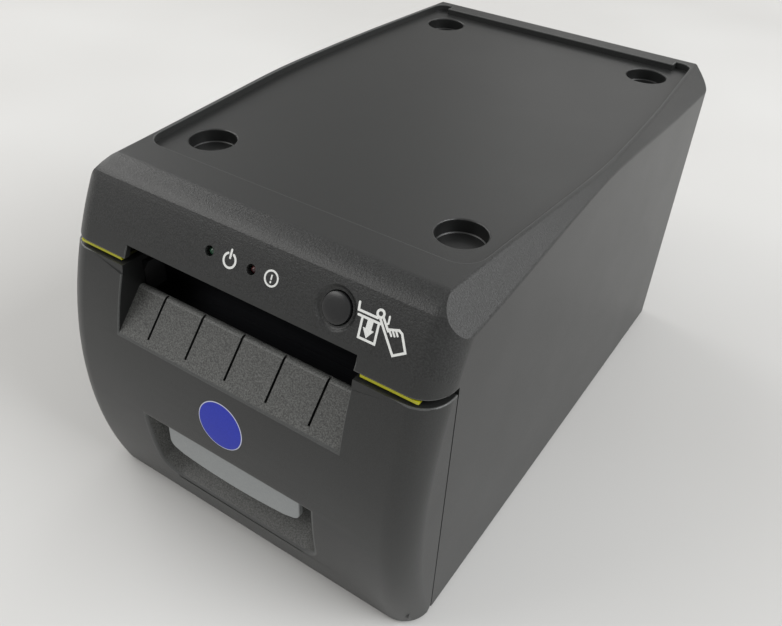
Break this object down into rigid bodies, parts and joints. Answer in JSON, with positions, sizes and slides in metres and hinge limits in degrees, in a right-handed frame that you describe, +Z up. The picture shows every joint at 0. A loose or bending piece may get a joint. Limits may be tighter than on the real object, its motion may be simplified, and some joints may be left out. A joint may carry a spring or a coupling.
{
  "type": "receipt printer",
  "caption": "Front-loading thermal receipt printer in charcoal plastic, with a tilting front door, a paper exit ramp and a sunken stacking tray on its top.",
  "frame": {"origin": "on the table under the middle of the casing, at the bottom of the rubber feet", "axes": "+X to the viewer's right seen from the front, +Y to the back, +Z up; the paper leaves towards -Y"},
  "size_m": [0.132, 0.2167, 0.119],
  "materials": {
    "charcoal_plastic": "fine grain, matt",
    "guide_yellow": "clear, satin",
    "black_plastic": "fine grain, matt",
    "sheet_steel": "rolled, zinc plated",
    "foot_rubber": "moulded",
    "ground_steel": "ground",
    "board_green": "solder mask",
    "black_satin_plastic": "satin",
    "heatsink": "extruded",
    "green_lens": "clear",
    "red_lens": "clear",
    "badge_blue": "satin lacquer",
    "gear_white": "smooth",
    "lever_grey": "smooth, matt",
    "platen_rubber": "ground, matt",
    "head_aluminium": "milled",
    "head_ceramic": "glazed"
  },
  "bodies": {
    "base": {"top_housing": "charcoal_plastic", "light_guide": "guide_yellow", "base_plate": "black_plastic", "base_screw_1": "sheet_steel", "base_screw_2": "sheet_steel", "base_screw_3": "sheet_steel", "base_screw_4": "sheet_steel", "rubber_foot_1": "foot_rubber", "rubber_foot_2": "foot_rubber", "rubber_foot_3": "foot_rubber", "rubber_foot_4": "foot_rubber", "paper_bay": "black_plastic", "mechanism_frame": "sheet_steel", "head_rod": "ground_steel", "head_spring_left": "ground_steel", "head_spring_right": "ground_steel", "main_board": "board_green", "capacitor_1": "black_satin_plastic", "capacitor_2": "black_satin_plastic", "processor": "black_plastic", "board_heatsink": "heatsink", "green_light": "green_lens", "red_light": "red_lens", "panel_board": "board_green", "feed_switch": "black_satin_plastic", "panel_screw_1": "sheet_steel", "panel_screw_2": "sheet_steel", "feed_motor": "sheet_steel", "cutter_plate": "sheet_steel", "cutter_motor": "sheet_steel", "socket_panel": "black_plastic", "power_socket": "black_satin_plastic", "usb_socket": "ground_steel", "drawer_socket": "black_satin_plastic", "switch_body": "black_satin_plastic"},
    "door": {"front_door": "charcoal_plastic", "badge": "badge_blue", "door_liner": "black_plastic", "liner_screw_1": "sheet_steel", "liner_screw_2": "sheet_steel", "liner_screw_3": "sheet_steel", "liner_screw_4": "sheet_steel", "platen_bush_left": "gear_white", "platen_bush_right": "gear_white", "fixed_blade": "ground_steel", "latch_spring": "ground_steel"},
    "lever": {"release_lever": "lever_grey"},
    "latch": {"latch_bar": "sheet_steel"},
    "platen": {"platen_rubber": "platen_rubber", "platen_shaft": "ground_steel", "platen_gear": "gear_white"},
    "idler": {"idler_gear": "gear_white"},
    "feed_rotor": {"feed_pinion": "ground_steel"},
    "head": {"head_plate": "head_aluminium", "head_ceramic": "head_ceramic"},
    "blade": {"moving_blade": "ground_steel"},
    "cutter_rotor": {"cutter_pinion": "ground_steel"},
    "button": {"feed_button": "black_satin_plastic"},
    "rocker": {"power_rocker": "black_satin_plastic"}
  },
  "joints": [
    {"name": "door_hinge", "type": "hinge", "parent": "base", "child": "door", "pos_m": [0, -0.096, 0.0065], "axis": [1, 0, 0], "range_deg": [0, 75]},
    {"name": "lever_pivot", "type": "hinge", "parent": "door", "child": "lever", "pos_m": [0, -0.104, 0.0472], "axis": [-1, 0, 0], "range_deg": [0, 12], "stiffness_Nm_per_rad": 0.08, "springref_deg": -5.73},
    {"name": "latch_pivot", "type": "hinge", "parent": "door", "child": "latch", "pos_m": [0, -0.0915, 0.062], "axis": [1, 0, 0], "range_deg": [0, 15]},
    {"name": "platen_spin", "type": "hinge", "parent": "door", "child": "platen", "pos_m": [0, -0.0775, 0.084], "axis": [1, 0, 0], "continuous": true},
    {"name": "idler_spin", "type": "hinge", "parent": "base", "child": "idler", "pos_m": [0, -0.05647, 0.08129], "axis": [1, 0, 0], "continuous": true},
    {"name": "feed_motor_spin", "type": "hinge", "parent": "base", "child": "feed_rotor", "pos_m": [0, -0.04921, 0.09688], "axis": [1, 0, 0], "continuous": true},
    {"name": "head_swing", "type": "hinge", "parent": "base", "child": "head", "pos_m": [0, -0.06108, 0.09111], "axis": [-1, 0, 0], "range_deg": [0, 2.5], "stiffness_Nm_per_rad": 0.6, "springref_deg": -5.73, "deforming": ["head_spring_left", "head_spring_right"]},
    {"name": "blade_slide", "type": "slide", "parent": "base", "child": "blade", "axis": [0, 0, -1], "range_m": [0, 0.007]},
    {"name": "cutter_spin", "type": "hinge", "parent": "base", "child": "cutter_rotor", "pos_m": [0, -0.0774, 0.1035], "axis": [1, 0, 0], "range_deg": [0, 101]},
    {"name": "button_press", "type": "slide", "parent": "base", "child": "button", "axis": [0, 0.8946, -0.4469], "range_m": [0, 0.0012], "stiffness_N_per_m": 600, "springref_m": -0.001},
    {"name": "rocker_tilt", "type": "hinge", "parent": "base", "child": "rocker", "pos_m": [0.033, 0.10515, 0.0195], "axis": [1, 0, 0], "range_deg": [0, 18]}
  ],
  "couplings": [
    {"joint": "latch_pivot", "follows": "lever_pivot", "ratio": 1.25},
    {"joint": "idler_spin", "follows": "platen_spin", "ratio": -0.60606},
    {"joint": "feed_motor_spin", "follows": "platen_spin", "ratio": 2},
    {"joint": "cutter_spin", "follows": "blade_slide", "rad_per_m": 250}
  ]
}
